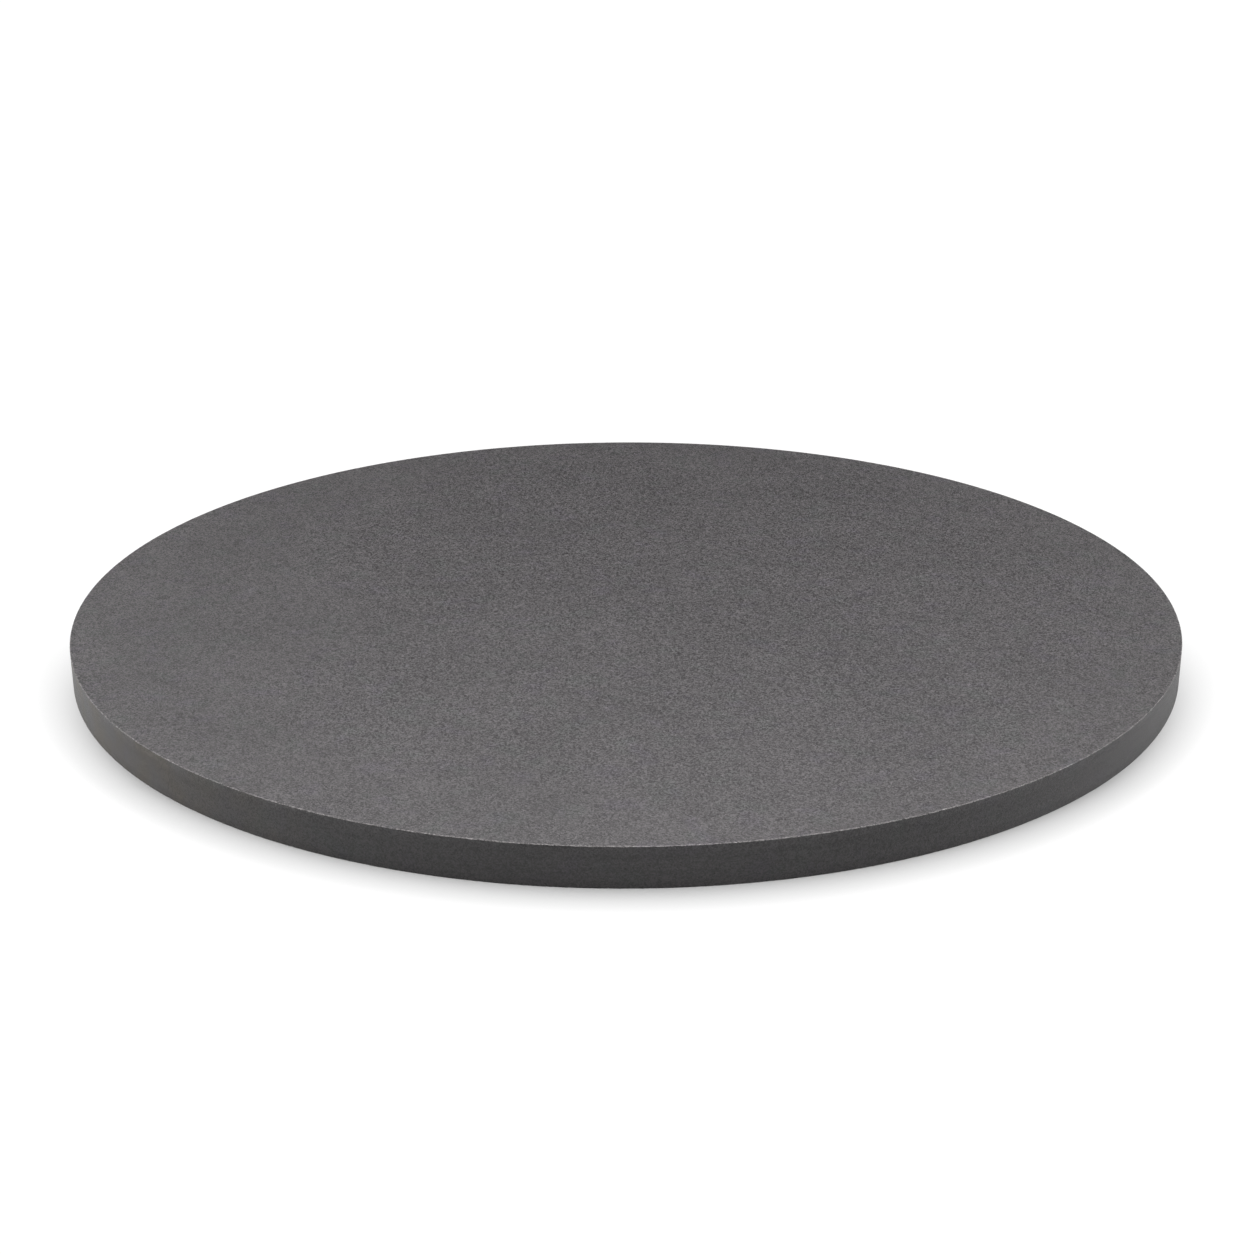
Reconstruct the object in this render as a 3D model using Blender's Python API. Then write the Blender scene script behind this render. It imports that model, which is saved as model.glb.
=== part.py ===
"""Round basalt massage stone: one thin disc, sawn to thickness, ground round and honed on top.

All lengths are in metres and +Z is up. The origin is the centre of the flat face that the disc
lies on, so the stone stands on z = 0 and its honed face is at z = THICKNESS.
"""

import math

import bmesh
import bpy
from mathutils import Matrix, Vector

# Driving sizes
DIAMETER = 0.300
THICKNESS = 0.010
TOP_ARRIS = 0.00030  # radius that eases the edge of the honed face
BASE_ARRIS = 0.00025  # radius that eases the edge of the lower face

# Fineness of the round shapes
RIM_STEPS = 256
ARRIS_STEPS = 3

# Faces that meet at more than this angle keep a crisp line between them
CRISP_ANGLE = math.radians(35.0)

# Finish of the stone
STONE_COLOUR = (0.100, 0.095, 0.097, 1.0)
STONE_ROUGHNESS = 0.62
STONE_METALLIC = 0.0


def clear_scene():
    """Remove every object, so that the scene holds only the stone."""
    for obj in list(bpy.data.objects):
        bpy.data.objects.remove(obj, do_unlink=True)


def basalt_material():
    """The honed, unsealed dark grey stone."""
    material = bpy.data.materials.new("honed_basalt")
    material.use_nodes = True
    shader = material.node_tree.nodes["Principled BSDF"]
    shader.inputs["Base Color"].default_value = STONE_COLOUR
    shader.inputs["Roughness"].default_value = STONE_ROUGHNESS
    shader.inputs["Metallic"].default_value = STONE_METALLIC
    material.diffuse_color = STONE_COLOUR
    return material


def arris_points(centre_r, centre_z, radius, start_angle):
    """A quarter turn from start_angle downwards, as (r, z) points round an arris centre."""
    points = []
    for step in range(ARRIS_STEPS + 1):
        angle = start_angle - math.radians(90.0) * step / ARRIS_STEPS
        points.append((centre_r + radius * math.cos(angle), centre_z + radius * math.sin(angle)))
    return points


def disc_profile():
    """Half of the disc's section, from the top centre round the rim to the bottom centre."""
    rim_r = DIAMETER / 2.0
    top_edge = arris_points(rim_r - TOP_ARRIS, THICKNESS - TOP_ARRIS, TOP_ARRIS, math.radians(90.0))
    base_edge = arris_points(rim_r - BASE_ARRIS, BASE_ARRIS, BASE_ARRIS, 0.0)
    return [(0.0, THICKNESS), *top_edge, *base_edge, (0.0, 0.0)]


def turned_mesh(name, profile):
    """Turn an (r, z) profile, whose two ends lie on the axis, round +Z into one closed mesh."""
    bm = bmesh.new()
    verts = [bm.verts.new((r, 0.0, z)) for r, z in profile]
    edges = [bm.edges.new(pair) for pair in zip(verts, verts[1:])]
    bmesh.ops.spin(
        bm,
        geom=verts + edges,
        cent=Vector((0.0, 0.0, 0.0)),
        axis=Vector((0.0, 0.0, 1.0)),
        angle=math.tau,
        steps=RIM_STEPS,
        use_merge=True,
    )
    bmesh.ops.remove_doubles(bm, verts=bm.verts, dist=min(TOP_ARRIS, BASE_ARRIS) / 100.0)
    bmesh.ops.recalc_face_normals(bm, faces=bm.faces)
    mesh = bpy.data.meshes.new(name)
    bm.to_mesh(mesh)
    bm.free()
    return mesh


def make_stone():
    """The whole object: one solid disc, placed on z = 0."""
    mesh = turned_mesh("basalt_disc", disc_profile())
    mesh.materials.append(basalt_material())
    mesh.shade_smooth()
    mesh.set_sharp_from_angle(angle=CRISP_ANGLE)
    stone = bpy.data.objects.new("basalt_disc", mesh)
    stone.matrix_world = Matrix.Identity(4)
    bpy.context.scene.collection.objects.link(stone)
    return stone


def main():
    """Build the stone in an empty scene."""
    clear_scene()
    make_stone()


if __name__ == "__main__":
    main()
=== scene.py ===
"""Studio model of a round honed basalt massage stone.

One solid disc lies on a pale floor: a honed upper face, hair-fine eased edges, a ground rim and a
sawn lower face. Lengths are in metres, +Z is up and the origin is the centre of the lower face.
"""

import logging
import math
from dataclasses import dataclass, field
from enum import Enum, IntEnum

import bmesh
import bpy
import numpy as np
from mathutils import Matrix, Vector, geometry, noise


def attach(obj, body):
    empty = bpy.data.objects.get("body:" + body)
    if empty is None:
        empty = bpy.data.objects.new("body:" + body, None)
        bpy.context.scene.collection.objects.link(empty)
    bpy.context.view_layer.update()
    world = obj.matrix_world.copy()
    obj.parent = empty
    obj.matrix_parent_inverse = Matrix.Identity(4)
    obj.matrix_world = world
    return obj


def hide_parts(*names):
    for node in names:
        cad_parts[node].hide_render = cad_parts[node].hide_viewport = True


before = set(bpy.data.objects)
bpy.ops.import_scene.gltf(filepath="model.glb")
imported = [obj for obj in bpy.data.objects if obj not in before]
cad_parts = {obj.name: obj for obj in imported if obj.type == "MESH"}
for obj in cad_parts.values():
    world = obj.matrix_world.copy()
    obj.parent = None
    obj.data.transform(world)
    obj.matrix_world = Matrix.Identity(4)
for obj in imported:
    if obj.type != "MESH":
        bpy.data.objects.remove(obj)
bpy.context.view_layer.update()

log = logging.getLogger("basalt_stone")

MILLI = 0.001
BODY = "root"
CAD_NODE = "basalt_disc"
CRISP_ANGLE = math.radians(32.0)
QUARTER_TURN = math.radians(90.0)
TRIANGLE_HEIGHT = math.cos(math.radians(30.0))

Colour = tuple[float, float, float]


class Zone(IntEnum):
    """The four differently worked surfaces of the stone, in material order."""

    HONED = 0
    EASED = 1
    GROUND = 2
    SAWN = 3


class Worked(Enum):
    """What the tool left on a surface, on top of the stone's own grain."""

    PLAIN = "plain"
    GRINDING_LINES = "grinding lines"
    SAW_ARCS = "saw arcs"
    # Pale edge strip: partly wear, partly a painted highlight along the edge.
    WORN_PALE_AND_HIGHLIGHT = "worn pale and highlight"


class NodeWriter:
    """Adds shader nodes to one node tree and joins them up."""

    def __init__(self, tree: bpy.types.NodeTree) -> None:
        """Start writing into an emptied material, world or group tree."""
        self.tree = tree
        self.tree.nodes.clear()

    def add(self, kind: str, **settings: object) -> bpy.types.Node:
        """Add one node.

        Args:
            kind: Blender's name of the node type.
            **settings: Node properties to set.

        Returns:
            The new node.
        """
        node = self.tree.nodes.new(kind)
        for name, value in settings.items():
            setattr(node, name, value)
        return node

    def feed(self, socket: bpy.types.NodeSocket, value: object) -> None:
        """Link a socket into another one, or set the other one to a plain value.

        Args:
            socket: The socket to fill.
            value: A socket, a plain value, or None to leave it as it is.
        """
        if isinstance(value, bpy.types.NodeSocket):
            self.tree.links.new(value, socket)
        elif value is not None:
            socket.default_value = value

    def math(self, operation: str, *values: object, clamp: bool = False) -> bpy.types.NodeSocket:
        """Apply one arithmetic operation.

        Args:
            operation: Blender's name of the operation.
            *values: Sockets or plain numbers, in order.
            clamp: Whether the result is kept between 0 and 1.

        Returns:
            The result socket.
        """
        node = self.add("ShaderNodeMath", operation=operation, use_clamp=clamp)
        for socket, value in zip(node.inputs, values):
            self.feed(socket, value)
        return node.outputs[0]

    def vector(
        self, operation: str, first: object, second: object = None, scale: object = None
    ) -> bpy.types.NodeSocket:
        """Apply one vector operation.

        Args:
            operation: Blender's name of the operation.
            first: The first vector, as a socket or plain values.
            second: The second vector, where the operation has one.
            scale: The factor, for the SCALE operation.

        Returns:
            The vector result, or the number for LENGTH and DISTANCE.
        """
        node = self.add("ShaderNodeVectorMath", operation=operation)
        self.feed(node.inputs[0], first)
        self.feed(node.inputs[1], second)
        if scale is not None:
            self.feed(node.inputs["Scale"], scale)
        return node.outputs["Value" if operation in ("LENGTH", "DISTANCE") else "Vector"]

    def between(
        self, value: object, low: object, high: object, new_low: object, new_high: object
    ) -> bpy.types.NodeSocket:
        """Map a value from one range onto another, clamped to the new range.

        Args:
            value: The value to map.
            low: Lower end of the old range.
            high: Upper end of the old range.
            new_low: What the lower end becomes.
            new_high: What the upper end becomes.

        Returns:
            The mapped value's socket.
        """
        node = self.add("ShaderNodeMapRange", clamp=True)
        for socket, number in zip(node.inputs, (value, low, high, new_low, new_high)):
            self.feed(socket, number)
        return node.outputs[0]

    def mix(self, share: object, first: object, second: object) -> bpy.types.NodeSocket:
        """Mix two colours.

        Args:
            share: How much of the second colour shows, 0 to 1.
            first: The first colour.
            second: The second colour.

        Returns:
            The mixed colour's socket.
        """
        node = self.add("ShaderNodeMix", data_type="RGBA")
        for name, value in (("Factor_Float", share), ("A_Color", first), ("B_Color", second)):
            self.feed(next(s for s in node.inputs if s.identifier == name), value)
        return next(s for s in node.outputs if s.identifier == "Result_Color")

    def noise(
        self, position: object, size: float, detail: float, roughness: float = 0.5
    ) -> bpy.types.NodeSocket:
        """Soft solid noise.

        Args:
            position: Where the noise is read.
            size: Length of one lump, in the units of the position.
            detail: How many finer layers are added.
            roughness: How strongly the finer layers count.

        Returns:
            The noise value's socket, about 0.5 in the mean.
        """
        node = self.add("ShaderNodeTexNoise", noise_dimensions="3D")
        self.feed(node.inputs["Vector"], position)
        self.feed(node.inputs["Scale"], 1.0 / size)
        self.feed(node.inputs["Detail"], detail)
        self.feed(node.inputs["Roughness"], roughness)
        return node.outputs[0]

    def cells(self, position: object, size: float) -> bpy.types.Node:
        """Random cells, one colour to a cell.

        Args:
            position: Where the cells are read.
            size: Width of one cell.

        Returns:
            A node with three random numbers for each cell.
        """
        cell = self.add("ShaderNodeTexVoronoi", voronoi_dimensions="3D", feature="F1")
        self.feed(cell.inputs["Vector"], position)
        self.feed(cell.inputs["Scale"], 1.0 / size)
        split = self.add("ShaderNodeSeparateColor")
        self.feed(split.inputs[0], cell.outputs["Color"])
        return split


class NodeGroup:
    """A shader node group with named sockets, built once and shared by the materials."""

    def __init__(self, name: str, inputs: dict[str, str], outputs: dict[str, str]) -> None:
        """Create the empty group.

        Args:
            name: The group's name.
            inputs: Socket type for each input name.
            outputs: Socket type for each output name.
        """
        self.tree = bpy.data.node_groups.new(name, "ShaderNodeTree")
        for side, sockets in (("INPUT", inputs), ("OUTPUT", outputs)):
            for socket, kind in sockets.items():
                self.tree.interface.new_socket(socket, in_out=side, socket_type=kind)
        self.writer = NodeWriter(self.tree)
        self.given = self.writer.add("NodeGroupInput").outputs
        self.result = self.writer.add("NodeGroupOutput").inputs

    def use(self, writer: NodeWriter, **values: object) -> bpy.types.bpy_prop_collection:
        """Place the group in another tree.

        Args:
            writer: Writer of the tree that uses the group.
            **values: A socket or plain value for each input.

        Returns:
            The placed group's outputs.
        """
        node = writer.add("ShaderNodeGroup", node_tree=self.tree)
        for name, value in values.items():
            writer.feed(node.inputs[name], value)
        return node.outputs


FLOAT = "NodeSocketFloat"
VECTOR = "NodeSocketVector"
COLOUR = "NodeSocketColor"


@dataclass(frozen=True)
class GrainLook:
    """The stone's own crystals, the same all through the block."""

    coarse_size: float = 0.34 * MILLI
    fine_size: float = 0.22 * MILLI
    lump_size: float = 2.6 * MILLI
    coarse_weight: float = 0.62
    fine_weight: float = 0.50
    lump_weight: float = 0.38
    crystal_split: float = 0.80
    pale_share: float = 0.020
    dark_share: float = 0.020
    fleck_strength: float = 0.40
    darkest: float = 0.25
    lump_detail: float = 2.0
    lump_roughness: float = 0.6

    def build(self) -> NodeGroup:
        """Write the grain: fine crystals of two sizes, softer lumps and stray flecks.

        Returns:
            The group that gives the grain's tone, about 1 in the mean, and its height, 0 to 1.
        """
        given = {"Position": VECTOR, "Contrast": FLOAT}
        group = NodeGroup("Basalt grain", given, {"Tone": FLOAT, "Height": FLOAT})
        w = group.writer
        position = group.given["Position"]
        coarse = w.cells(position, self.coarse_size)
        fine = w.cells(position, self.fine_size)
        lumps = w.noise(position, self.lump_size, self.lump_detail, self.lump_roughness)
        low, high = 0.5 * self.crystal_split, 1.0 - 0.5 * self.crystal_split
        crystals = [w.between(cell.outputs[0], low, high, 0.0, 1.0) for cell in (coarse, fine)]
        centred = [w.math("SUBTRACT", value, 0.5) for value in (*crystals, lumps)]
        weights = (self.coarse_weight, self.fine_weight, self.lump_weight)
        parts = [w.math("MULTIPLY", value, weight) for value, weight in zip(centred, weights)]
        tone = w.math("ADD", w.math("ADD", parts[0], parts[1]), parts[2])
        pale = w.math("GREATER_THAN", coarse.outputs[1], 1.0 - self.pale_share)
        dark = w.math("GREATER_THAN", coarse.outputs[2], 1.0 - self.dark_share)
        flecks = w.math("MULTIPLY", w.math("SUBTRACT", pale, dark), self.fleck_strength)
        swing = w.math("MULTIPLY", w.math("ADD", tone, flecks), group.given["Contrast"])
        w.feed(group.result["Tone"], w.math("MAXIMUM", w.math("ADD", swing, 1.0), self.darkest))
        w.feed(group.result["Height"], w.math("ADD", tone, 0.5))
        return group


@dataclass(frozen=True)
class CloudLook:
    """Faint colour clouds in the block: greenish, violet-grey and plainly darker or paler."""

    patch_size: float = 7.0 * MILLI
    cloud_size: float = 30.0 * MILLI
    green: Colour = (0.977, 1.016, 0.993)
    violet: Colour = (1.004, 0.990, 1.040)
    cloud_strength: float = 0.140
    tint_range: tuple[float, float] = (0.56, 0.70)
    patch_detail: float = 1.5
    cloud_detail: float = 3.0
    violet_shift: tuple[float, float, float] = (0.31, 0.17, 0.05)
    cloud_shift: tuple[float, float, float] = (0.07, 0.43, 0.11)

    def build(self) -> NodeGroup:
        """Write the clouds. Each kind reads its own shifted part of the noise.

        Returns:
            The group that tints a colour with the clouds.
        """
        group = NodeGroup("Basalt clouds", {"Position": VECTOR, "Colour": COLOUR}, {"Colour": COLOUR})
        w = group.writer
        position = group.given["Position"]
        green_noise = w.noise(position, self.patch_size, self.patch_detail)
        violet_place = w.vector("ADD", position, self.violet_shift)
        violet_noise = w.noise(violet_place, self.patch_size, self.patch_detail)
        neutral = (1.0, 1.0, 1.0, 1.0)
        green = w.mix(w.between(green_noise, *self.tint_range, 0.0, 1.0), neutral, (*self.green, 1.0))
        violet = w.mix(w.between(violet_noise, *self.tint_range, 0.0, 1.0), neutral, (*self.violet, 1.0))
        cloud = w.noise(w.vector("ADD", position, self.cloud_shift), self.cloud_size, self.cloud_detail)
        swing = w.math("MULTIPLY", w.math("SUBTRACT", cloud, 0.5), 2.0 * self.cloud_strength)
        shade = w.math("ADD", swing, 1.0)
        tinted = w.vector("MULTIPLY", w.vector("MULTIPLY", group.given["Colour"], green), violet)
        w.feed(group.result["Colour"], w.vector("SCALE", tinted, None, shade))
        return group


@dataclass(frozen=True)
class LineLook:
    """Fine level lines that a grinding wheel leaves while the disc turns under it."""

    length: float = 12.0 * MILLI
    height: float = 0.45 * MILLI
    broad_length: float = 60.0 * MILLI
    broad_height: float = 1.5 * MILLI

    def build(self) -> NodeGroup:
        """Write the lines: short fine ones over long broad ones.

        Returns:
            The group that gives the lines' depth, 0 to 1.
        """
        group = NodeGroup("Grinding lines", {"Position": VECTOR}, {"Lines": FLOAT})
        w = group.writer
        position = group.given["Position"]
        layers = []
        for length, height in ((self.length, self.height), (self.broad_length, self.broad_height)):
            flat = w.vector("MULTIPLY", position, (1.0 / length, 1.0 / length, 1.0 / height))
            layers.append(w.noise(flat, 1.0, 1.0))
        w.feed(group.result["Lines"], w.math("MULTIPLY", w.math("ADD", layers[0], layers[1]), 0.5))
        return group


@dataclass(frozen=True)
class ScuffLook:
    """Short dark scuffs from handling, gathered in a few places."""

    turn: float = math.radians(35.0)
    length: float = 2.2 * MILLI
    width: float = 0.55 * MILLI
    detail: float = 2.0
    seen_range: tuple[float, float] = (0.56, 0.72)
    gathered_size: float = 20.0 * MILLI
    gathered_range: tuple[float, float] = (0.48, 0.62)

    def build(self) -> NodeGroup:
        """Write the scuffs: stretched marks, let through in patches.

        Returns:
            The group that gives the scuffs' mask, 0 to 1.
        """
        group = NodeGroup("Handling scuffs", {"Position": VECTOR}, {"Scuffs": FLOAT})
        w = group.writer
        position = group.given["Position"]
        turned = w.add("ShaderNodeVectorRotate", rotation_type="Z_AXIS")
        w.feed(turned.inputs["Vector"], position)
        w.feed(turned.inputs["Angle"], self.turn)
        stretched = w.vector("DIVIDE", turned.outputs[0], (self.length, self.width, self.width))
        marks = w.between(w.noise(stretched, 1.0, self.detail), *self.seen_range, 0.0, 1.0)
        gathered = w.noise(position, self.gathered_size, 1.0)
        patches = w.between(gathered, *self.gathered_range, 0.0, 1.0)
        w.feed(group.result["Scuffs"], w.math("MULTIPLY", marks, patches))
        return group


@dataclass(frozen=True)
class StoneEffects:
    """The node groups that the stone's finishes are made from."""

    grain: NodeGroup
    clouds: NodeGroup
    lines: NodeGroup
    scuffs: NodeGroup

    @classmethod
    def build(cls) -> "StoneEffects":
        """Build each group once."""
        return cls(GrainLook().build(), CloudLook().build(), LineLook().build(), ScuffLook().build())


@dataclass(frozen=True)
class StoneFinish:
    """One way the stone's surface has been worked.

    The contrasts at the front and the rear are shares of grain_contrast, one fade_reach before and
    behind the middle. The stain is full at the first of stain_side's two places and gone at the
    second.
    """

    name: str
    worked: Worked
    colour: Colour
    grain_contrast: float
    roughness: float
    roughness_swing: float
    specular: float
    grain_relief: float
    tool_relief: float = 0.0
    tool_tone: float = 0.0
    scuff_tone: float = 0.0
    stain: Colour | None = None
    stain_size: float = 12.0 * MILLI
    stain_side: tuple[float, float] = (-140.0 * MILLI, -60.0 * MILLI)
    stain_detail: float = 2.0
    stain_range: tuple[float, float] = (0.35, 0.65)
    stain_fullest: float = 2.0
    front_contrast: float = 1.0
    rear_contrast: float = 1.0
    fade_reach: float = 150.0 * MILLI
    saw_centre: tuple[float, float, float] = (0.21, -0.17, 0.0)
    saw_pitch: float = 1.9 * MILLI
    saw_detail: float = 3.0
    saw_roughness: float = 0.65
    wear_and_highlight_size: float = 0.7 * MILLI
    wear_and_highlight_detail: float = 2.0
    wear_and_highlight_roughness: float = 0.7
    refraction: float = 1.5

    def tool_marks(
        self, w: NodeWriter, position: bpy.types.NodeSocket, effects: StoneEffects
    ) -> bpy.types.NodeSocket | None:
        """The marks of the tool, 0 to 1.

        Args:
            w: Writer of the material's tree.
            position: Position on the stone.
            effects: The shared node groups.

        Returns:
            The marks' socket, or None for a surface without any.
        """
        if self.worked is Worked.PLAIN:
            return None
        if self.worked is Worked.GRINDING_LINES:
            return effects.lines.use(w, Position=position)["Lines"]
        # The pale edge strip's mottling: partly wear, partly painted highlight.
        if self.worked is Worked.WORN_PALE_AND_HIGHLIGHT:
            return w.noise(position, self.wear_and_highlight_size, self.wear_and_highlight_detail, self.wear_and_highlight_roughness)
        level = w.vector("MULTIPLY", position, (1.0, 1.0, 0.0))
        radius = w.vector("DISTANCE", level, self.saw_centre)
        across = w.add("ShaderNodeCombineXYZ")
        w.feed(across.inputs[0], radius)
        return w.noise(across.outputs[0], self.saw_pitch, self.saw_detail, self.saw_roughness)

    def make(self, effects: StoneEffects) -> bpy.types.Material:
        """Write the material.

        Args:
            effects: The shared node groups.

        Returns:
            The finished material.
        """
        material = bpy.data.materials.new(self.name)
        material.use_nodes = True
        w = NodeWriter(material.node_tree)
        position = w.add("ShaderNodeTexCoord").outputs["Object"]
        split = w.add("ShaderNodeSeparateXYZ")
        w.feed(split.inputs[0], position)
        front, rear = self.grain_contrast * self.front_contrast, self.grain_contrast * self.rear_contrast
        contrast = w.between(split.outputs[1], -self.fade_reach, self.fade_reach, front, rear)
        grain = effects.grain.use(w, Position=position, Contrast=contrast)
        ground = (*self.colour, 1.0)
        if self.stain is not None:
            stained = tuple(base * tint for base, tint in zip(self.colour, self.stain))
            reached = w.between(split.outputs[0], *self.stain_side, 1.0, 0.0)
            patches = w.noise(position, self.stain_size, self.stain_detail)
            patchy = w.between(patches, *self.stain_range, 0.0, self.stain_fullest)
            ground = w.mix(w.math("MULTIPLY", reached, patchy), ground, (*stained, 1.0))
        plain = effects.clouds.use(w, Position=position, Colour=ground)["Colour"]
        marks = self.tool_marks(w, position, effects)
        tone = grain["Tone"]
        if marks is not None:
            swing = w.math("MULTIPLY", w.math("SUBTRACT", marks, 0.5), 2.0 * self.tool_tone)
            tone = w.math("MULTIPLY", tone, w.math("ADD", swing, 1.0))
        if self.scuff_tone > 0.0:
            scuffs = effects.scuffs.use(w, Position=position)["Scuffs"]
            tone = w.math("MULTIPLY", tone, w.between(scuffs, 0.0, 1.0, 1.0, 1.0 - self.scuff_tone))
        shader = w.add("ShaderNodeBsdfPrincipled")
        w.feed(shader.inputs["Base Color"], w.vector("SCALE", plain, None, tone))
        low, high = self.roughness - self.roughness_swing, self.roughness + self.roughness_swing
        w.feed(shader.inputs["Roughness"], w.between(grain["Height"], 0.0, 1.0, low, high))
        shader.inputs["Metallic"].default_value = 0.0
        shader.inputs["Specular IOR Level"].default_value = self.specular
        shader.inputs["IOR"].default_value = self.refraction
        normal = None
        reliefs = ((grain["Height"], self.grain_relief), (marks, self.tool_relief))
        for height, depth in reliefs:
            if height is not None and depth > 0.0:
                bump = w.add("ShaderNodeBump")
                bump.inputs["Distance"].default_value = depth
                w.feed(bump.inputs["Height"], height)
                w.feed(bump.inputs["Normal"], normal)
                normal = bump.outputs["Normal"]
        w.feed(shader.inputs["Normal"], normal)
        out = w.add("ShaderNodeOutputMaterial")
        w.feed(out.inputs["Surface"], shader.outputs[0])
        return material


@dataclass(frozen=True)
class EasedEdge:
    """A hair-fine eased edge, which wanders a little and has lost small chips in handling.

    Where the strip's width is more than 0, a strip of the flat face along the edge is pale as well:
    partly wear, partly a painted highlight. It is widest at the front and the back, and at the sides
    it keeps the share of that width given for the sides.
    """

    radius: float
    wear_and_highlight_strip: float
    wander: float
    wander_length: float
    chips: int
    chip_half_length: tuple[float, float]
    chip_depth: tuple[float, float]
    roughness: float
    seed: int
    steps: int = 4
    chip_fade: tuple[float, float] = (0.4, 1.0)
    chip_shape: float = 1.5
    wear_and_highlight_spread: tuple[float, float] = (0.8, 1.2)
    wear_and_highlight_sides: float = 0.35

    def radii(self, angles: np.ndarray, rim_radius: float) -> np.ndarray:
        """The size of the easing round the disc.

        Args:
            angles: Angles round the disc, evenly spaced.
            rim_radius: Radius of the rim.

        Returns:
            The easing's radius at each angle.
        """
        reach = rim_radius / self.wander_length
        soft = [noise.noise(Vector((math.cos(a) * reach, math.sin(a) * reach, self.seed))) for a in angles]
        eased = self.radius + self.wander * np.array(soft)
        dice = np.random.default_rng(self.seed)
        for _ in range(self.chips):
            centre = dice.uniform(0.0, math.tau)
            half = dice.uniform(*self.chip_half_length) / rim_radius
            depth = dice.uniform(*self.chip_depth) * dice.uniform(*self.chip_fade)
            away = np.abs((angles - centre + math.pi) % math.tau - math.pi) / half
            eased += depth * np.clip(1.0 - away**2, 0.0, None) ** self.chip_shape
        return eased

    def section(
        self, angles: np.ndarray, rim_radius: float, face_z: float, outward: float
    ) -> list[np.ndarray]:
        """Rings of points from the flat face round to the rim.

        Args:
            angles: Angles round the disc.
            rim_radius: Radius of the rim.
            face_z: Height of the flat face.
            outward: +1 if the flat face looks up, -1 if it looks down.

        Returns:
            One array of points for each ring, the flat face's ring first.
        """
        eased = self.radii(angles, rim_radius)
        dice = np.random.default_rng(self.seed + 1)
        rings = []
        # Pale strip along the edge, partly wear and partly a painted highlight, narrowed at the sides
        # where the highlight is weaker.
        if self.wear_and_highlight_strip > 0.0:
            width = self.wear_and_highlight_strip * dice.uniform(*self.wear_and_highlight_spread, len(angles))
            width *= self.wear_and_highlight_sides + (1.0 - self.wear_and_highlight_sides) * np.sin(angles) ** 2
            within = rim_radius - eased - width
            flat_z = np.full(len(angles), face_z)
            rings.append(np.stack([within * np.cos(angles), within * np.sin(angles), flat_z], axis=1))
        for step in range(self.steps + 1):
            turn = QUARTER_TURN * step / self.steps
            inner = 0 < step < self.steps
            grit = dice.uniform(-1.0, 0.0, len(angles)) * (self.roughness if inner else 0.0)
            reach = eased + grit
            out = rim_radius - eased + reach * math.sin(turn)
            z = face_z + outward * (reach * math.cos(turn) - eased)
            rings.append(np.stack([out * np.cos(angles), out * np.sin(angles), z], axis=1))
        return rings


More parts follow.
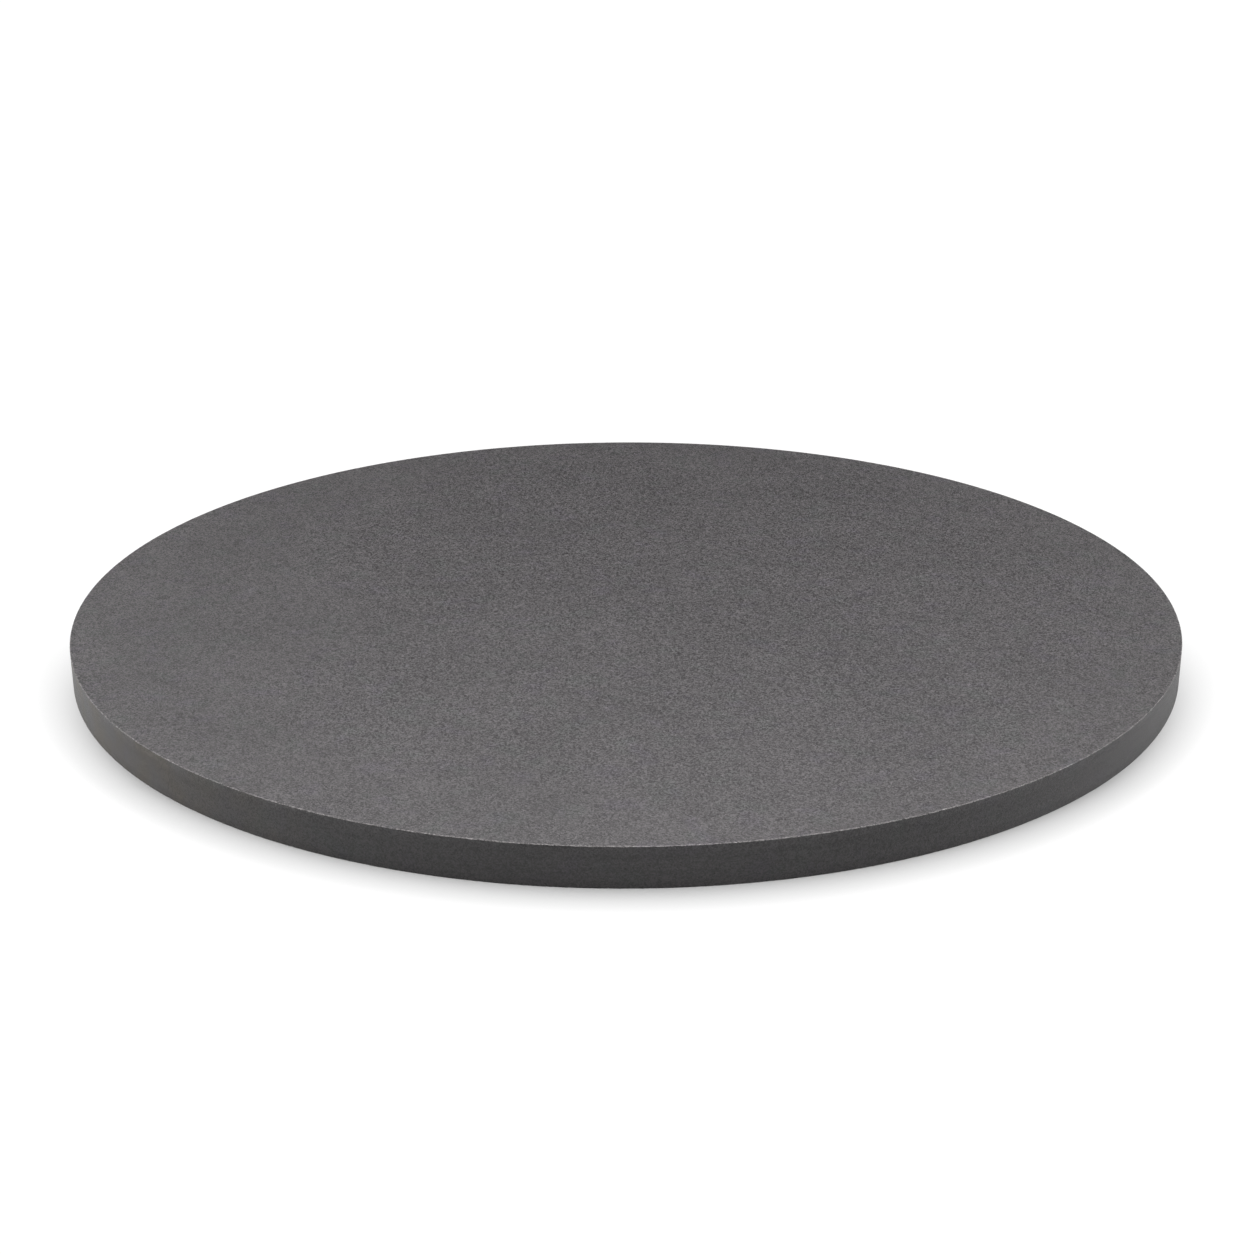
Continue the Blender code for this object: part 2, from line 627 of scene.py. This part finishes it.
@dataclass(frozen=True)
class FlatFace:
    """A flat face of the disc, meshed finely at its edge, with its open pores."""

    zone: Zone
    grid: float
    pores: int
    pore_radius: tuple[float, float]
    pore_depth: float
    seed: int
    border_bands: tuple[tuple[float, int], ...] = (
        (1.5 * MILLI, 960),
        (3.4 * MILLI, 480),
        (7.0 * MILLI, 240),
    )
    pore_sides: int = 9
    pore_gap: float = 4.0
    pore_reach: tuple[float, float] = (0.82, 1.15)
    pore_skew: float = 0.2
    floor_reach: float = 0.6
    floor_depth: float = 0.8
    clearance: float = 0.2
    merge_distance: float = 0.00001

    def pore_places(self, rim_radius: float) -> list[tuple[float, float, float]]:
        """Where the pores are.

        Args:
            rim_radius: Radius of the disc.

        Returns:
            Centre and radius of each pore, none of them touching another or the edge bands.
        """
        dice = np.random.default_rng(self.seed)
        limit = rim_radius - self.border_bands[-1][0] - self.grid / 2.0
        gap = self.pore_gap * self.pore_radius[1]
        places: list[tuple[float, float, float]] = []
        while len(places) < self.pores:
            out, turn = limit * math.sqrt(dice.uniform()), dice.uniform(0.0, math.tau)
            x, y = out * math.cos(turn), out * math.sin(turn)
            size = self.pore_radius[0] + (self.pore_radius[1] - self.pore_radius[0]) * dice.uniform() ** 2
            if all(math.hypot(x - px, y - py) > gap for px, py, _ in places):
                places.append((x, y, size))
        return places

    def free_points(self, rim_radius: float, pores: list[tuple[float, float, float]]) -> list[Vector]:
        """Points inside the face that keep its triangles even.

        Args:
            rim_radius: Radius of the disc.
            pores: Centre and radius of each pore.

        Returns:
            The points, clear of every pore.
        """
        points = []
        for inset, count in self.border_bands:
            for step in range(count):
                turn = math.tau * (step + 0.5) / count
                points.append(Vector((math.cos(turn), math.sin(turn))) * (rim_radius - inset))
        limit = rim_radius - self.border_bands[-1][0] - self.grid / 2.0
        rows = int(rim_radius / self.grid) + 1
        row_height = self.grid * TRIANGLE_HEIGHT
        for row in range(-2 * rows, 2 * rows + 1):
            for column in range(-rows, rows + 1):
                x, y = self.grid * (column + 0.5 * (row % 2)), row_height * row
                room = self.grid * self.clearance
                clear = all(math.hypot(x - px, y - py) > size + room for px, py, size in pores)
                if math.hypot(x, y) < limit and clear:
                    points.append(Vector((x, y)))
        return points

    def fill(
        self, shell: "Shell", ring: list[int], rim_radius: float, face_z: float, outward: float
    ) -> None:
        """Close the disc with this face.

        Args:
            shell: The mesh that is being gathered.
            ring: Vertex numbers of the face's edge, in turning order.
            rim_radius: Radius of the disc.
            face_z: Height of the face.
            outward: +1 if the face looks up, -1 if it looks down.
        """
        pores = self.pore_places(rim_radius)
        dice = np.random.default_rng(self.seed + 1)
        flat = [Vector(shell.points[i][:2]) / MILLI for i in ring]
        loops = [list(range(len(ring)))]
        outlines = []
        for x, y, size in pores:
            sides = self.pore_sides
            reach = size * dice.uniform(*self.pore_reach, sides)
            skew = dice.uniform(-self.pore_skew, self.pore_skew, sides)
            turns = math.tau * (np.arange(sides) + skew) / sides
            outline = [Vector((x + r * math.cos(t), y + r * math.sin(t))) for r, t in zip(reach, turns)]
            loops.append(list(range(len(flat), len(flat) + sides)))
            flat += [point / MILLI for point in outline]
            outlines.append(outline)
        flat += [point / MILLI for point in self.free_points(rim_radius, pores)]
        found = geometry.delaunay_2d_cdt(flat, [], loops, 1, self.merge_distance)
        places, _, triangles, origins, _, faces_in = found
        numbers = []
        for place, origin in zip(places, origins):
            if origin and origin[0] < len(ring):
                numbers.append(ring[origin[0]])
            else:
                numbers.append(shell.point((place[0] * MILLI, place[1] * MILLI, face_z)))
        by_origin = {origin[0]: number for origin, number in zip(origins, numbers) if origin}
        for triangle, inside in zip(triangles, faces_in):
            if inside == [0]:
                shell.face([numbers[i] for i in triangle], self.zone, outward)
        for (x, y, size), outline, loop in zip(pores, outlines, loops[1:]):
            self.sink_pore(shell, (x, y), outline, [by_origin[i] for i in loop], face_z, outward)

    def sink_pore(
        self,
        shell: "Shell",
        centre: tuple[float, float],
        outline: list[Vector],
        rim: list[int],
        face_z: float,
        outward: float,
    ) -> None:
        """Sink one pore below the face.

        Args:
            shell: The mesh that is being gathered.
            centre: Middle of the pore.
            outline: The pore's mouth.
            rim: Vertex numbers of the mouth.
            face_z: Height of the face.
            outward: +1 if the face looks up, -1 if it looks down.
        """
        middle = Vector(centre)
        floor = []
        for point in outline:
            x, y = middle.lerp(point, self.floor_reach)
            floor.append(shell.point((x, y, face_z - outward * self.pore_depth * self.floor_depth)))
        bottom = shell.point((middle.x, middle.y, face_z - outward * self.pore_depth))
        for i in range(len(rim)):
            j = (i + 1) % len(rim)
            shell.face([rim[i], rim[j], floor[j], floor[i]], self.zone, outward)
            shell.face([floor[i], floor[j], bottom], self.zone, outward)


class Shell:
    """Points and faces gathered for one closed mesh."""

    def __init__(self) -> None:
        """Start empty."""
        self.points: list[tuple[float, float, float]] = []
        self.faces: list[list[int]] = []
        self.zones: list[int] = []

    def point(self, place: tuple[float, float, float]) -> int:
        """Add a point and return its number."""
        self.points.append(tuple(float(v) for v in place))
        return len(self.points) - 1

    def ring(self, places: np.ndarray) -> list[int]:
        """Add a ring of points and return their numbers."""
        return [self.point(place) for place in places]

    def face(self, corners: list[int], zone: Zone, outward: float = 1.0) -> int:
        """Add a face.

        Args:
            corners: Vertex numbers, turning left as seen from above.
            zone: The worked surface it belongs to.
            outward: -1 turns the face over, to look down.

        Returns:
            The face's number.
        """
        self.faces.append(list(corners) if outward > 0.0 else list(reversed(corners)))
        self.zones.append(int(zone))
        return len(self.faces) - 1


@dataclass(frozen=True)
class UnwrapPlan:
    """How the stone's surface is laid out flat: two round faces and the rim cut into strips."""

    honed_centre: tuple[float, float] = (0.366, 0.634)
    honed_radius: float = 0.360
    sawn_centre: tuple[float, float] = (0.786, 0.214)
    sawn_radius: float = 0.208
    strips: int = 5
    strip_left: float = 0.006
    strip_length: float = 0.545
    strip_bottom: float = 0.006
    strip_height: float = 0.041
    strip_gap: float = 0.010

    def flat(self, x: float, y: float, rim_radius: float, zone: Zone) -> tuple[float, float]:
        """Place of a point of one of the two flat faces.

        Args:
            x: Position on the face.
            y: Position on the face.
            rim_radius: Radius of the disc.
            zone: Which face it is.

        Returns:
            The flattened position.
        """
        if zone is Zone.HONED:
            scale = self.honed_radius / rim_radius
            return self.honed_centre[0] + x * scale, self.honed_centre[1] + y * scale
        scale = self.sawn_radius / rim_radius
        return self.sawn_centre[0] + x * scale, self.sawn_centre[1] - y * scale

    def strip(self, step: int, segments: int, down: float, last: bool) -> tuple[float, float]:
        """Place of a point of the rim.

        Args:
            step: Which segment of the rim the point belongs to.
            segments: Number of segments round the rim.
            down: How far down the rim it is, 0 to 1.
            last: Whether it is the segment's second side.

        Returns:
            The flattened position.
        """
        each = segments // self.strips
        number, along = divmod(step, each)
        across = (along + (1 if last else 0)) / each
        top = self.strip_bottom + number * (self.strip_height + self.strip_gap) + self.strip_height
        return self.strip_left + across * self.strip_length, top - down * self.strip_height


@dataclass
class StoneDisc:
    """The stone: one solid disc, ground round, sawn to thickness and honed on top."""

    diameter: float = 300.0 * MILLI
    thickness: float = 10.0 * MILLI
    segments: int = 1920
    rim_rows: int = 4
    top_edge: EasedEdge = field(
        default_factory=lambda: EasedEdge(
            radius=0.06 * MILLI,
            wear_and_highlight_strip=0.42 * MILLI,
            wander=0.03 * MILLI,
            wander_length=9.0 * MILLI,
            chips=170,
            chip_half_length=(0.35 * MILLI, 1.1 * MILLI),
            chip_depth=(0.02 * MILLI, 0.09 * MILLI),
            roughness=0.012 * MILLI,
            seed=11,
        )
    )
    base_edge: EasedEdge = field(
        default_factory=lambda: EasedEdge(
            radius=0.07 * MILLI,
            wear_and_highlight_strip=0.0,
            wander=0.02 * MILLI,
            wander_length=12.0 * MILLI,
            chips=180,
            chip_half_length=(0.4 * MILLI, 1.4 * MILLI),
            chip_depth=(0.03 * MILLI, 0.16 * MILLI),
            roughness=0.010 * MILLI,
            seed=23,
        )
    )
    honed_face: FlatFace = field(
        default_factory=lambda: FlatFace(
            zone=Zone.HONED,
            grid=5.0 * MILLI,
            pores=120,
            pore_radius=(0.16 * MILLI, 0.42 * MILLI),
            pore_depth=0.14 * MILLI,
            seed=5,
        )
    )
    sawn_face: FlatFace = field(
        default_factory=lambda: FlatFace(
            zone=Zone.SAWN,
            grid=6.0 * MILLI,
            pores=90,
            pore_radius=(0.20 * MILLI, 0.55 * MILLI),
            pore_depth=0.18 * MILLI,
            seed=8,
        )
    )
    unwrap: UnwrapPlan = field(default_factory=UnwrapPlan)

    def finishes(self) -> dict[Zone, StoneFinish]:
        """How each surface of the stone is finished.

        Returns:
            The finish of each of the four surfaces.
        """
        return {
            Zone.HONED: StoneFinish(
                name="honed_basalt",
                worked=Worked.PLAIN,
                colour=(0.1058, 0.1006, 0.1029),
                grain_contrast=1.80,
                roughness=0.60,
                roughness_swing=0.06,
                specular=0.35,
                grain_relief=0.070 * MILLI,
                scuff_tone=0.26,
                front_contrast=0.40,
                rear_contrast=0.90,
            ),
            Zone.EASED: StoneFinish(
                name="eased_edge",
                worked=Worked.WORN_PALE_AND_HIGHLIGHT,
                # Paler than the honed face: partly wear, partly a painted highlight along the edge.
                colour=(0.171, 0.163, 0.164),
                grain_contrast=0.90,
                roughness=0.80,
                roughness_swing=0.08,
                specular=0.15,
                grain_relief=0.020 * MILLI,
                tool_relief=0.030 * MILLI,
                tool_tone=0.40,
            ),
            Zone.GROUND: StoneFinish(
                name="ground_rim",
                worked=Worked.GRINDING_LINES,
                # Darker than the honed face: partly the smoother ground finish, partly painted shade where
                # the rim faces away from the overhead light.
                colour=(0.0612, 0.0583, 0.0594),
                grain_contrast=0.52,
                roughness=0.34,
                roughness_swing=0.05,
                specular=0.45,
                grain_relief=0.014 * MILLI,
                tool_relief=0.012 * MILLI,
                tool_tone=0.22,
                stain=(1.080, 1.000, 0.820),
            ),
            Zone.SAWN: StoneFinish(
                name="sawn_base",
                worked=Worked.SAW_ARCS,
                colour=(0.112, 0.109, 0.110),
                grain_contrast=0.52,
                roughness=0.74,
                roughness_swing=0.06,
                specular=0.30,
                grain_relief=0.024 * MILLI,
                tool_relief=0.060 * MILLI,
                tool_tone=0.10,
            ),
        }

    def wall_rings(self, angles: np.ndarray) -> tuple[list[np.ndarray], list[Zone]]:
        """Rings of points from the honed face over the rim to the lower face.

        Args:
            angles: Angles round the disc.

        Returns:
            The rings from top to bottom, and the surface between each ring and the next.
        """
        radius = self.diameter / 2.0
        top = self.top_edge.section(angles, radius, self.thickness, 1.0)
        base = self.base_edge.section(angles, radius, 0.0, -1.0)
        wall = [top[-1] + (base[-1] - top[-1]) * row / self.rim_rows for row in range(1, self.rim_rows)]
        rings = top + wall + base[::-1]
        zones = [Zone.EASED] * (len(top) - 1) + [Zone.GROUND] * self.rim_rows
        return rings, zones + [Zone.EASED] * (len(base) - 1)

    def mesh(self) -> bpy.types.Mesh:
        """Build the closed mesh with its surfaces marked and laid out flat.

        Returns:
            The stone's mesh.
        """
        radius = self.diameter / 2.0
        angles = math.tau * np.arange(self.segments) / self.segments
        places, zones = self.wall_rings(angles)
        shell = Shell()
        rings = [shell.ring(ring) for ring in places]
        lengths = [0.0]
        for upper, lower in zip(places, places[1:]):
            lengths.append(lengths[-1] + float(np.linalg.norm(upper - lower, axis=1).mean()))
        flat: list[tuple[float, float]] = []
        for row, zone in enumerate(zones):
            high, low = lengths[row] / lengths[-1], lengths[row + 1] / lengths[-1]
            for step in range(self.segments):
                after = (step + 1) % self.segments
                upper, lower = rings[row], rings[row + 1]
                shell.face([upper[step], lower[step], lower[after], upper[after]], zone)
                for down, last in ((high, False), (low, False), (low, True), (high, True)):
                    flat.append(self.unwrap.strip(step, self.segments, down, last))
        self.honed_face.fill(shell, rings[0], radius, self.thickness, 1.0)
        self.sawn_face.fill(shell, rings[-1], radius, 0.0, -1.0)
        wall_faces = len(zones) * self.segments
        for corners, zone in zip(shell.faces[wall_faces:], shell.zones[wall_faces:]):
            for corner in corners:
                x, y, _ = shell.points[corner]
                flat.append(self.unwrap.flat(x, y, radius, Zone(zone)))
        mesh = bpy.data.meshes.new("basalt_disc_shown")
        mesh.from_pydata(shell.points, [], shell.faces)
        mesh.polygons.foreach_set("material_index", shell.zones)
        layer = mesh.uv_layers.new(name="OFBake")
        layer.data.foreach_set("uv", np.array(flat, dtype=np.float32).ravel())
        self.crease(mesh)
        return mesh

    def crease(self, mesh: bpy.types.Mesh) -> None:
        """Keep a crisp line where a flat face meets its easing and round each pore.

        Args:
            mesh: The stone's mesh.
        """
        work = bmesh.new()
        work.from_mesh(mesh)
        flats = {int(Zone.HONED), int(Zone.SAWN)}
        for face in work.faces:
            face.smooth = True
        for edge in work.edges:
            around = {face.material_index for face in edge.link_faces}
            meets_easing = int(Zone.EASED) in around and bool(around & flats)
            folded = edge.calc_face_angle(0.0) > CRISP_ANGLE
            edge.smooth = not (meets_easing or folded)
        work.to_mesh(mesh)
        work.free()

    def build(self, effects: StoneEffects) -> bpy.types.Object:
        """Build and dress the stone and tie it to the CAD part.

        Args:
            effects: The shared node groups.

        Returns:
            The finished piece.
        """
        mesh = self.mesh()
        for zone, finish in sorted(self.finishes().items()):
            mesh.materials.append(finish.make(effects))
        stone = bpy.data.objects.new("basalt_disc_shown", mesh)
        bpy.context.scene.collection.objects.link(stone)
        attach(stone, BODY)
        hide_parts(CAD_NODE)
        log.info("%s: %d faces, %d points", stone.name, len(mesh.polygons), len(mesh.vertices))
        return stone


@dataclass(frozen=True)
class Softbox:
    """One rectangular soft light, which the camera doesn't see."""

    name: str
    place: tuple[float, float, float]
    size: tuple[float, float]
    power: float
    aim: tuple[float, float, float] = (0.0, 0.0, 0.0)
    colour: Colour = (1.0, 1.0, 1.0)

    def build(self) -> bpy.types.Object:
        """Hang the light and point it at its aim.

        Returns:
            The light.
        """
        light = bpy.data.lights.new(self.name, "AREA")
        light.shape = "RECTANGLE"
        light.size, light.size_y = self.size
        light.energy = self.power
        light.color = self.colour
        lamp = bpy.data.objects.new(self.name, light)
        lamp.location = self.place
        lamp.rotation_euler = (Vector(self.aim) - Vector(self.place)).to_track_quat("-Z", "Y").to_euler()
        lamp.visible_camera = False
        bpy.context.scene.collection.objects.link(lamp)
        return lamp


@dataclass(frozen=True)
class Dome:
    """Faint light from all round, that the camera sees as plain white."""

    left: float = 0.192
    below: float = 0.64
    white: float = 1.0
    colour: Colour = (1.0, 1.0, 1.0)

    def build(self) -> bpy.types.World:
        """Write the world's nodes.

        The light from below reaches only the stone's lower face, through the opening in the floor.

        Returns:
            The studio's world.
        """
        world = bpy.data.worlds.new("studio_dome")
        bpy.context.scene.world = world
        world.use_nodes = True
        w = NodeWriter(world.node_tree)
        split = w.add("ShaderNodeSeparateXYZ")
        w.feed(split.inputs[0], w.add("ShaderNodeTexCoord").outputs["Generated"])
        x, _, z = split.outputs
        from_left = w.math("MAXIMUM", w.math("MULTIPLY", x, -1.0), 0.0)
        under = w.math("MULTIPLY", w.math("LESS_THAN", z, 0.0), self.below)
        total = w.math("ADD", w.math("MULTIPLY", from_left, self.left), under)
        seen = w.add("ShaderNodeLightPath").outputs["Is Camera Ray"]
        strength = w.math("ADD", w.math("MULTIPLY", w.math("SUBTRACT", self.white, total), seen), total)
        back_light = w.add("ShaderNodeBackground")
        back_light.inputs["Color"].default_value = (*self.colour, 1.0)
        w.feed(back_light.inputs["Strength"], strength)
        out = w.add("ShaderNodeOutputWorld")
        w.feed(out.inputs["Surface"], back_light.outputs[0])
        return world


@dataclass(frozen=True)
class Floor:
    """The plain pale floor that the stone lies on, open under the stone's lower face."""

    half_width: float = 4.0
    opening: float = 148.0 * MILLI
    drop: float = 0.02 * MILLI
    steps: int = 128
    seen_colour: Colour = (0.48, 0.48, 0.48)
    bounce_colour: Colour = (0.26, 0.26, 0.26)
    mirrored_colour: Colour = (0.48, 0.48, 0.48)
    stone_centre: tuple[float, float, float] = (0.0, 0.0, 0.0)
    shadow_reach: tuple[float, float] = (150.0 * MILLI, 161.5 * MILLI)
    shadow_front: float = -100.0 * MILLI
    shadow_rear: float = 5.0 * MILLI
    sweep_white: float = 1.05

    def mesh(self) -> bpy.types.Mesh:
        """Make a flat ring from the opening to far beyond the view.

        Returns:
            The floor's mesh.
        """
        points = []
        for reach in (self.opening, self.half_width):
            for step in range(self.steps):
                turn = math.tau * step / self.steps
                points.append((reach * math.cos(turn), reach * math.sin(turn), 0.0))
        faces = []
        for step in range(self.steps):
            after = (step + 1) % self.steps
            faces.append((step, self.steps + step, self.steps + after, after))
        mesh = bpy.data.meshes.new("studio_floor")
        mesh.from_pydata(points, [], faces)
        return mesh

    def material(self) -> bpy.types.Material:
        """Write a floor that takes the stone's soft shadow in front and at the sides.

        Further out and behind it runs into an evenly lit white sweep, and its lower side is white
        too. It throws less light back onto the stone than it shows.

        Returns:
            The floor's material.
        """
        material = bpy.data.materials.new("pale_floor")
        material.use_nodes = True
        w = NodeWriter(material.node_tree)
        seen = w.add("ShaderNodeBsdfDiffuse")
        seen.inputs["Color"].default_value = (*self.seen_colour, 1.0)
        bounce = w.add("ShaderNodeBsdfDiffuse")
        bounce.inputs["Color"].default_value = (*self.bounce_colour, 1.0)
        sweep = w.add("ShaderNodeEmission")
        sweep.inputs["Strength"].default_value = self.sweep_white
        place = w.add("ShaderNodeTexCoord").outputs["Object"]
        split = w.add("ShaderNodeSeparateXYZ")
        w.feed(split.inputs[0], place)
        out_from_stone = w.vector("DISTANCE", place, self.stone_centre)
        near = w.between(out_from_stone, *self.shadow_reach, 1.0, 0.0)
        before = w.between(split.outputs[1], self.shadow_front, self.shadow_rear, 1.0, 0.0)
        above = w.math("SUBTRACT", 1.0, w.add("ShaderNodeNewGeometry").outputs["Backfacing"])
        blend = w.add("ShaderNodeMixShader")
        w.feed(blend.inputs[0], w.math("MULTIPLY", w.math("MULTIPLY", near, before), above))
        w.feed(blend.inputs[1], sweep.outputs[0])
        w.feed(blend.inputs[2], seen.outputs[0])
        mirrored = w.add("ShaderNodeBsdfDiffuse")
        mirrored.inputs["Color"].default_value = (*self.mirrored_colour, 1.0)
        rays = w.add("ShaderNodeLightPath")
        unseen = w.add("ShaderNodeMixShader")
        w.feed(unseen.inputs[0], rays.outputs["Is Glossy Ray"])
        w.feed(unseen.inputs[1], bounce.outputs[0])
        w.feed(unseen.inputs[2], mirrored.outputs[0])
        mix = w.add("ShaderNodeMixShader")
        w.feed(mix.inputs[0], rays.outputs["Is Camera Ray"])
        w.feed(mix.inputs[1], unseen.outputs[0])
        w.feed(mix.inputs[2], blend.outputs[0])
        out = w.add("ShaderNodeOutputMaterial")
        w.feed(out.inputs["Surface"], mix.outputs[0])
        return material

    def build(self) -> bpy.types.Object:
        """Lay the floor just under the stone.

        Returns:
            The floor.
        """
        mesh = self.mesh()
        mesh.materials.append(self.material())
        floor = bpy.data.objects.new("studio_floor", mesh)
        floor.location.z = -self.drop
        bpy.context.scene.collection.objects.link(floor)
        return floor


@dataclass(frozen=True)
class StudioCamera:
    """The camera in front of the stone, a little above it."""

    target_height: float = 10.0 * MILLI
    height_angle: float = math.radians(20.686)
    distance: float = 588.6 * MILLI
    pitch: float = math.radians(21.507)
    yaw: float = math.radians(0.029)
    roll: float = math.radians(-0.128)
    lens: float = 60.88
    sensor: float = 36.0
    nearest: float = 10.0 * MILLI

    def build(self) -> bpy.types.Object:
        """Set the camera up and make it the scene's own.

        Returns:
            The camera.
        """
        data = bpy.data.cameras.new("studio_camera")
        data.sensor_width = self.sensor
        data.lens = self.lens
        data.clip_start = self.nearest
        data.dof.use_dof = False
        camera = bpy.data.objects.new("studio_camera", data)
        place = Vector((0.0, -math.cos(self.height_angle), math.sin(self.height_angle))) * self.distance
        place.z += self.target_height
        ahead = Vector((math.sin(self.yaw), math.cos(self.yaw), 0.0)) * math.cos(self.pitch)
        ahead.z = -math.sin(self.pitch)
        level = Vector((math.cos(self.yaw), -math.sin(self.yaw), 0.0))
        above = level.cross(ahead)
        right = math.cos(self.roll) * level + math.sin(self.roll) * above
        up = math.cos(self.roll) * above - math.sin(self.roll) * level
        turn = Matrix((right, up, -ahead)).transposed().to_4x4()
        camera.matrix_world = Matrix.Translation(place) @ turn
        bpy.context.scene.collection.objects.link(camera)
        bpy.context.scene.camera = camera
        return camera


@dataclass
class Studio:
    """Floor, lights and camera."""

    floor: Floor = field(default_factory=Floor)
    dome: Dome = field(default_factory=Dome)
    camera: StudioCamera = field(default_factory=StudioCamera)
    softboxes: tuple[Softbox, ...] = (
        Softbox("box_overhead", place=(0.0, 0.0, 1.0), size=(0.8, 0.8), power=3.60),
        Softbox(
            "box_front", place=(0.0, -0.235, 0.25), size=(0.3, 0.15), power=0.64, aim=(0.0, -0.13, 0.0)
        ),
        Softbox("box_left", place=(-0.75, 0.20, 0.22), size=(0.5, 0.3), power=6.60),
        Softbox("box_right", place=(0.75, 0.20, 0.22), size=(0.5, 0.3), power=4.90),
        Softbox("box_left_low", place=(-0.55, -0.30, 0.10), size=(0.3, 0.15), power=0.42),
        Softbox("box_right_low", place=(0.55, -0.30, 0.10), size=(0.3, 0.15), power=0.35),
        Softbox("box_right_near", place=(0.60, -0.05, 0.30), size=(0.4, 0.4), power=0.53),
    )

    def build(self) -> None:
        """Set the studio up with plain, unstyled colour."""
        scene = bpy.context.scene
        scene.view_settings.view_transform = "Standard"
        scene.view_settings.look = "None"
        self.floor.build()
        self.dome.build()
        for softbox in self.softboxes:
            softbox.build()
        self.camera.build()
        log.info("studio: floor, dome, %d softboxes and camera", len(self.softboxes))


def main() -> None:
    """Build the stone and its studio, in order."""
    logging.basicConfig(level=logging.INFO, format="%(name)s: %(message)s")
    effects = StoneEffects.build()
    StoneDisc().build(effects)
    Studio().build()


if __name__ == "__main__":
    main()
